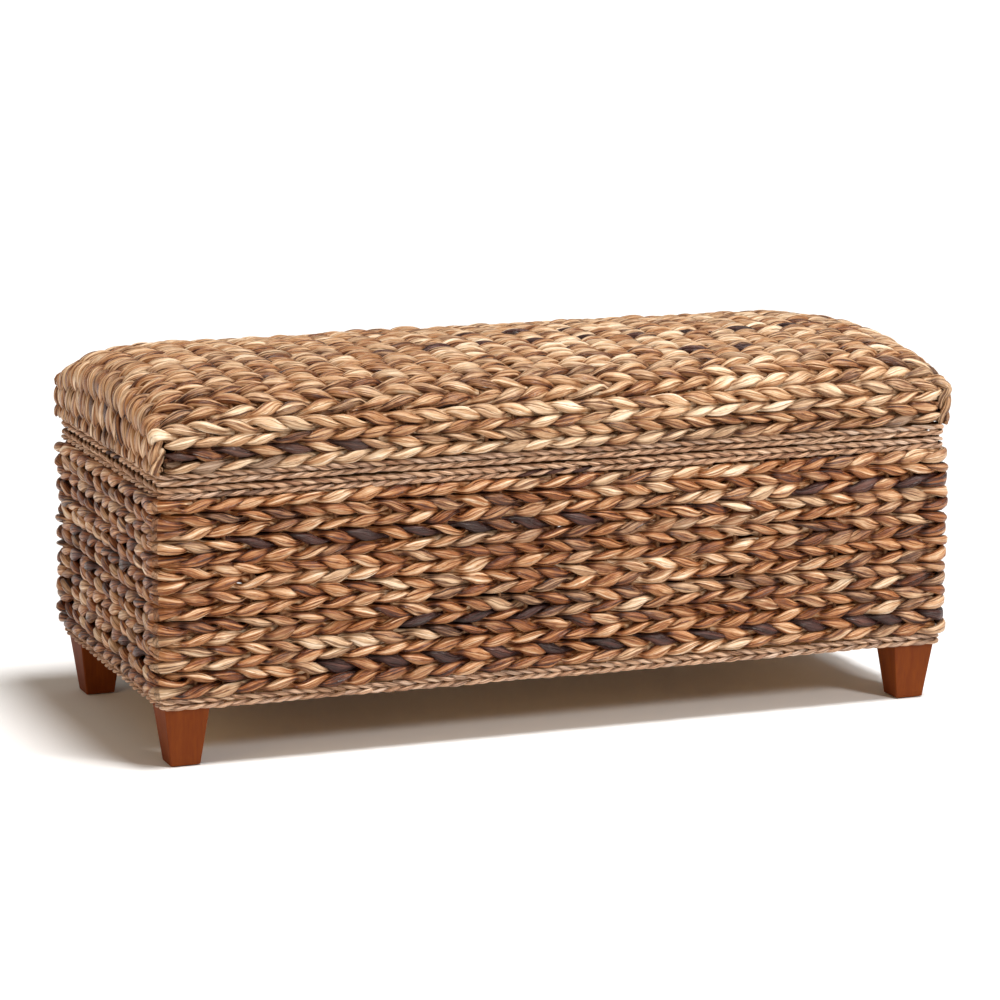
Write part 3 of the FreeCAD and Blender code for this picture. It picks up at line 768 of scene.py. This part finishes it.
TRIM_STRAND = Strand(2.7 * MM, 2.2 * MM, 1.9 * MM, 2.4 * MM, 2.6 * MM, 1.8 * MM, 0.6, 0.40, around=8)
TRIM_ROWS = 2
TRIM_INSET = 5.5 * MM
TRIM_CORNER = 8 * MM
TRIM_SAMPLES = 14
HINGE_X = (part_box("hinge_body_leaf_left")[0].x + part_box("hinge_body_leaf_left")[1].x) / 2
HINGE_REACH = 36 * MM
HINGE_DIP = 7 * MM


def weave_trim(node, seed, body, lift):
    """Two thin twined rows round a wall, raised by lift. At the back they dip in behind the
    hinges."""
    low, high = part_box(node)
    points, outward, numbers = ring_line(
        TRIM_X - TRIM_INSET, TRIM_Y - TRIM_INSET, TRIM_CORNER, TRIM_SAMPLES
    )
    near_hinge = np.exp(-(((np.abs(points[:, 0]) - abs(HINGE_X)) / HINGE_REACH) ** 6))
    points[:, 1] -= HINGE_DIP * near_hinge * (points[:, 1] > 0)
    pitch = (high.z - low.z) / TRIM_ROWS
    rng = np.random.default_rng(seed)
    tubes = TubeMesh()
    for row in range(TRIM_ROWS):
        path = points.copy()
        path[:, 2] = high.z - (row + 0.5) * pitch + lift
        twist = -1 if row % 2 == 0 else 1
        for phase in (0, 1):
            rings, fibres, tints = twined_strand(
                path, outward, 2 * numbers, phase, twist, TRIM_STRAND, rng, True
            )
            tubes.add(rings, fibres, tints)
    piece = tubes.build(f"twined_{node}", TRIM_LEAF)
    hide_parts(node)
    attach(piece, body)


# the body's rim is raised and the lid's lowered a little, which narrows the gap between them
RIM_LIFT = 0.7 * MM
weave_trim("body_bottom_trim", 21, "trunk_body", 0)
weave_trim("body_top_trim", 22, "trunk_body", RIM_LIFT)
weave_trim("lid_trim", 23, "lid", -RIM_LIFT)

# ---------------------------------------------------------------------------------------------
# Lid
# ---------------------------------------------------------------------------------------------

LID_STRAND = Strand(8.3 * MM, 5.8 * MM, 4.9 * MM, 6.6 * MM, 5.8 * MM, 4.9 * MM, 0.85, 0.45)
FLAP_STRAND = Strand(7.0 * MM, 5.8 * MM, 4.0 * MM, 6.4 * MM, 6.0 * MM, 3.9 * MM, 0.9, 0.45)
TOP_ROWS = 29
TOP_SEED = 31
FLAP_ROWS = 3

# how much fuller than an ellipse the shoulders are: 2 is an ellipse
END_FULLNESS = 2.8
SIDE_FULLNESS = 2.0


def shoulder_line(flat, shoulder, drop, fullness, count=60):
    """Out and fall of a line that is flat, then turns down in a quarter of a full ellipse, by
    distance."""
    turn = np.linspace(0, math.pi / 2, count)
    out = flat + shoulder * np.sin(turn) ** (2 / fullness)
    fall = drop * (1 - np.cos(turn) ** (2 / fullness))
    step = np.hypot(np.diff(out), np.diff(fall))
    distance = flat + np.concatenate([[0], np.cumsum(step)])
    return np.concatenate([[0], distance]), np.concatenate([[0], out]), np.concatenate([[0], fall])


END_LINE = shoulder_line(LID_X - END_SHOULDER, END_SHOULDER, DOME_DROP, END_FULLNESS)
SIDE_LINE = shoulder_line(LID_Y - SIDE_SHOULDER, SIDE_SHOULDER, DOME_DROP, SIDE_FULLNESS)
END_TURN = END_LINE[0][-1]
SIDE_TURN = SIDE_LINE[0][-1]
END_FACE_TOP = LID_TOP - DOME_DROP
ROW_PITCH = 2 * SIDE_TURN / TOP_ROWS
END_FACE_REACH = 225 * MM
END_BOTTOM = LID_WALL_LOW - 1 * MM

# added to the lid's stake numbers, which run from the middle, so that none is below 0
STAKE_OFFSET = 100

# the rows are cut between two stakes, where the flat top turns down to the ends
END_CUT = 11.5

# how many times a row of the lid strays on its way from the middle to one end
LID_DRIFTS = 5
DRIFT_DRAWS = 12

# the rows lie flatter towards the ends, from this far before the turn
END_PRESS = 0.25
PRESS_REACH = 90 * MM

# down the ends, the rows nearest the corners lean round them
LEANING_ROWS = 1.2
LEAN = 0.8
LEAN_REACH = 40 * MM

# the flaps' rows: how far they stray, how much they stop short of the ends, and how far the
# topmost reaches up under the row above it
FLAP_DRIFT = 0.4 * MM
FLAP_SHORT = 6 * MM
FLAP_LIFT = 1.5 * MM


def dome_point(along, across):
    """A point of the lid's middle surface: along the length, then across the depth, both as
    distances over the surface from the middle of the top. Past the end shoulder the surface
    goes straight down the end face, and the rows spread evenly over it."""
    side = np.sign(along)
    reach = np.abs(along)
    x = np.interp(reach, END_LINE[0], END_LINE[1])
    end_fall = np.interp(reach, END_LINE[0], END_LINE[2]) / DOME_DROP
    hand = np.sign(across)
    y = np.interp(np.abs(across), SIDE_LINE[0], SIDE_LINE[1])
    side_fall = np.interp(np.abs(across), SIDE_LINE[0], SIDE_LINE[2]) / DOME_DROP
    fall = DOME_DROP * (1 - (1 - end_fall) * (1 - side_fall))
    z = LID_TOP - DOME_CROWN * (y / LID_Y) ** 2 - fall
    spread = np.clip((reach - END_LINE[0][1]) / (END_TURN - END_LINE[0][1]), 0, 1)
    spread = spread * spread * (3 - 2 * spread)
    end_y = np.abs(across) / SIDE_TURN * END_FACE_REACH
    y = hand * (y * (1 - spread) + end_y * spread)
    down = np.clip((reach - END_TURN) / (END_FACE_TOP - END_BOTTOM), 0, None)
    z = z - down * (z - END_BOTTOM)
    return np.stack([side * x, y, z], axis=-1)


def dome_outward(along, across):
    """Outward directions of the middle surface, by small steps along and across it."""
    step = 2 * MM
    run = dome_point(along + step, across) - dome_point(along - step, across)
    rise = dome_point(along, across + step) - dome_point(along, across - step)
    return unit(np.cross(run, rise))


def row_numbers(reach):
    """Stake numbers of a row that reaches as far each way from the middle, with its samples."""
    count = int(reach / STAKE_PITCH * SAMPLES)
    return np.arange(-count, count + 1) / SAMPLES


def tuck_ends(rings):
    """Draw the first and last two rings of a strand in to a rounded tip."""
    for order, keep in ((0, 0.55), (1, 0.86)):
        for end in (order, len(rings) - 1 - order):
            middle = rings[end].mean(axis=0)
            rings[end] = middle + (rings[end] - middle) * keep
    return rings


def end_share(along, reach):
    """0 until reach before the turn down the ends, and 1 from the turn on."""
    return np.clip((np.abs(along) - END_TURN + reach) / reach, 0, 1)


def lid_drift(rng, size, numbers):
    """How far a row of the lid strays, along its length."""
    return per_stitch(rng.normal(0, size, DRIFT_DRAWS), numbers / numbers[-1] * LID_DRIFTS)


def top_row(along, across):
    """The middle line of a row over the top and down both ends, and its outward directions."""
    path = dome_point(along, across)
    outward = dome_outward(along, across)
    rows_out = abs(across[0]) / SIDE_TURN * TOP_ROWS / 2
    corner = max(0.0, rows_out - (TOP_ROWS / 2 - LEANING_ROWS))
    lean = np.array([0, np.sign(across[0]) * LEAN, 0])
    return path, unit(outward + corner * end_share(along, LEAN_REACH)[:, None] * lean)


def weave_lid():
    """Rows that run over the whole top and down both ends, as four pieces."""
    pieces = {name: TubeMesh() for name in ("top_front", "top_back", "left", "right")}
    rng = np.random.default_rng(TOP_SEED)
    numbers = row_numbers(END_TURN + END_FACE_TOP - END_BOTTOM)
    along = numbers * STAKE_PITCH
    for row in range(TOP_ROWS):
        across = np.full(len(along), (row + 0.5) * ROW_PITCH - SIDE_TURN)
        path, outward = top_row(along, across)
        path[:, 1] += lid_drift(rng, ROW_DRIFT, numbers)
        press = 1 - END_PRESS * end_share(along, PRESS_REACH)
        twist = -1 if row % 2 == 0 else 1
        half = "top_front" if row < TOP_ROWS // 2 else "top_back"
        for phase in (0, 1):
            rings, fibres, tints = twined_strand(
                path, outward, numbers + STAKE_OFFSET, phase, twist, LID_STRAND, rng, False, press
            )
            rings = tuck_ends(rings)
            for name, picked in (
                ("left", numbers <= -END_CUT),
                (half, np.abs(numbers) <= END_CUT),
                ("right", numbers >= END_CUT),
            ):
                pieces[name].add(rings[picked], fibres[picked], tints[picked])
    return pieces


def flap_rows(side, seed):
    """Rows along the lid's upright front or back face, below the rows that cross the top."""
    tubes = TubeMesh()
    rng = np.random.default_rng(seed)
    numbers = row_numbers(LID_X - FLAP_SHORT)
    top = END_FACE_TOP - DOME_CROWN + FLAP_LIFT
    pitch = (top - LID_WALL_LOW) / FLAP_ROWS
    for row in range(FLAP_ROWS):
        path = np.zeros((len(numbers), 3))
        path[:, 0] = -side * numbers * STAKE_PITCH
        path[:, 1] = side * LID_Y
        path[:, 2] = LID_WALL_LOW + (row + 0.5) * pitch
        path[:, 2] += lid_drift(rng, FLAP_DRIFT, numbers)
        outward = np.zeros_like(path)
        outward[:, 1] = side
        twist = 1 if row % 2 == 0 else -1
        for phase in (0, 1):
            rings, fibres, tints = twined_strand(
                path, outward, numbers + STAKE_OFFSET, phase, twist, FLAP_STRAND, rng, False
            )
            tubes.add(tuck_ends(rings), fibres, tints)
    return tubes


def finish_lid_piece(tubes, name, node):
    piece = tubes.build(name, LID_LEAF)
    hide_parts(node)
    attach(piece, "lid")


lid_rows = weave_lid()
finish_lid_piece(lid_rows["top_front"], "woven_lid_top_front", "lid_weave_top")
finish_lid_piece(lid_rows["top_back"], "woven_lid_top_back", "lid_weave_top")
finish_lid_piece(lid_rows["left"], "woven_lid_left", "lid_weave_left")
finish_lid_piece(lid_rows["right"], "woven_lid_right", "lid_weave_right")
finish_lid_piece(flap_rows(-1, 41), "woven_lid_front", "lid_weave_front")
finish_lid_piece(flap_rows(1, 42), "woven_lid_back", "lid_weave_back")

STAKE_RADIUS = 2.4 * MM

# from this far before the turn down the ends, the stakes have no upright ends
STAKE_STOP = 60 * MM


def upright(top, count=6):
    """Points below the point top, from the foot of the lid's wall upwards, without top itself."""
    heights = np.linspace(LID_WALL_LOW, top[2], count, endpoint=False)
    return np.stack([np.full(count, top[0]), np.full(count, top[1]), heights], axis=-1)


def stake_line(place):
    """Middle line of a stake across the lid, at a distance from its middle."""
    across = np.linspace(-SIDE_TURN, SIDE_TURN, 60)
    line = dome_point(np.full(len(across), place), across)
    if abs(place) >= END_TURN - STAKE_STOP:
        return line
    return np.concatenate([upright(line[0]), line, upright(line[-1])[::-1]])


def lid_stakes():
    """Thin bars under the lid's strands: across the top at each stake, and along each end."""
    tubes = TubeMesh()
    around = np.linspace(0, 2 * math.pi, 8, endpoint=False)
    numbers = row_numbers(END_TURN + END_FACE_TOP - END_BOTTOM)
    for number in range(math.ceil(numbers[0]), math.floor(numbers[-1]) + 1):
        line = stake_line(number * STAKE_PITCH)
        tangent = unit(np.gradient(line, axis=0))
        side = unit(np.cross(tangent, np.array([1.0, 0.02, 0.0])))
        other = np.cross(tangent, side)
        rings = (
            line[:, None, :]
            + side[:, None, :] * (STAKE_RADIUS * np.cos(around))[None, :, None]
            + other[:, None, :] * (STAKE_RADIUS * np.sin(around))[None, :, None]
        )
        tubes.add(rings, np.zeros_like(rings), np.full_like(rings, 0.5))
    piece = tubes.build("lid_stakes", STAKE_WOOD)
    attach(piece, "lid")


lid_stakes()

# ---------------------------------------------------------------------------------------------
# Floor, light and camera
# ---------------------------------------------------------------------------------------------

FLOOR_REACH = 30.0
FLOOR_GREY = (0.86, 0.86, 0.86, 1)
SKY_TINT = (1, 0.92, 0.82, 1)
SKY_STRENGTH = 0.29


def studio_floor():
    mesh = bpy.data.meshes.new("floor")
    corners = [
        (side_x * FLOOR_REACH, side_y * FLOOR_REACH, 0)
        for side_x, side_y in ((-1, -1), (1, -1), (1, 1), (-1, 1))
    ]
    mesh.from_pydata(corners, [], [(0, 1, 2, 3)])
    floor = bpy.data.objects.new("studio_floor", mesh)
    bpy.context.scene.collection.objects.link(floor)
    graph = Graph("studio_floor")
    graph.shader.inputs["Base Color"].default_value = FLOOR_GREY
    graph.shader.inputs["Roughness"].default_value = 0.9
    mesh.materials.append(graph.material)


def studio_light():
    world = bpy.data.worlds.new("studio")
    world.use_nodes = True
    background = world.node_tree.nodes["Background"]
    background.inputs["Color"].default_value = SKY_TINT
    background.inputs["Strength"].default_value = SKY_STRENGTH
    bpy.context.scene.world = world
    bpy.context.scene.view_settings.view_transform = "Standard"
    add_light("overhead", "SUN", (0.3, -0.38, 1.6), (0, 0, 0), 3.75, 0.30, (1, 1, 1))
    add_light("key", "AREA", (1.3, -2.2, 1.5), (0, 0, 0.25), 35, 0.5, (1, 0.98, 0.95))
    add_light("fill", "AREA", (-2.4, -1.0, 1.0), (0, 0, 0.25), 9.5, 0.9, (1, 0.62, 0.28))


def add_light(name, kind, place, target, power, size, colour):
    """A soft light; size is a disc's diameter in metres, or the sun's spread in radians."""
    data = bpy.data.lights.new(name, kind)
    data.energy = power
    data.color = colour
    if kind == "AREA":
        data.shape = "DISK"
        data.size = size
    else:
        data.angle = size
    light = bpy.data.objects.new(name, data)
    light.location = place
    light.rotation_mode = "QUATERNION"
    light.rotation_quaternion = (Vector(target) - Vector(place)).to_track_quat("-Z", "Y")
    bpy.context.scene.collection.objects.link(light)


CAMERA_AZIMUTH = -0.3771
CAMERA_ELEVATION = 0.1687
CAMERA_ROLL = 0.0051
CAMERA_DISTANCE = 4.888
CAMERA_TARGET = Vector((0.0224, 0, 0.3724))
CAMERA_SHIFT = (-0.0176, -0.0926)
SENSOR_WIDTH = 36.0
LENS_BY_WIDTH = 3.8298


def camera():
    """A long lens, about 22 degrees round to the left of the front and 10 degrees up."""
    data = bpy.data.cameras.new("camera")
    data.sensor_width = SENSOR_WIDTH
    data.lens = LENS_BY_WIDTH * SENSOR_WIDTH
    data.shift_x, data.shift_y = CAMERA_SHIFT
    data.clip_start = 0.1
    data.clip_end = 100
    back = Vector(
        (
            math.sin(CAMERA_AZIMUTH) * math.cos(CAMERA_ELEVATION),
            -math.cos(CAMERA_AZIMUTH) * math.cos(CAMERA_ELEVATION),
            math.sin(CAMERA_ELEVATION),
        )
    )
    camera_object = bpy.data.objects.new("camera", data)
    camera_object.location = CAMERA_TARGET + back * CAMERA_DISTANCE
    camera_object.rotation_mode = "QUATERNION"
    turned = (-back).to_track_quat("-Z", "Y").to_matrix()
    turned = turned @ Matrix.Rotation(CAMERA_ROLL, 3, "Z")
    camera_object.rotation_quaternion = turned.to_quaternion()
    bpy.context.scene.collection.objects.link(camera_object)
    bpy.context.scene.camera = camera_object


studio_floor()
studio_light()
camera()
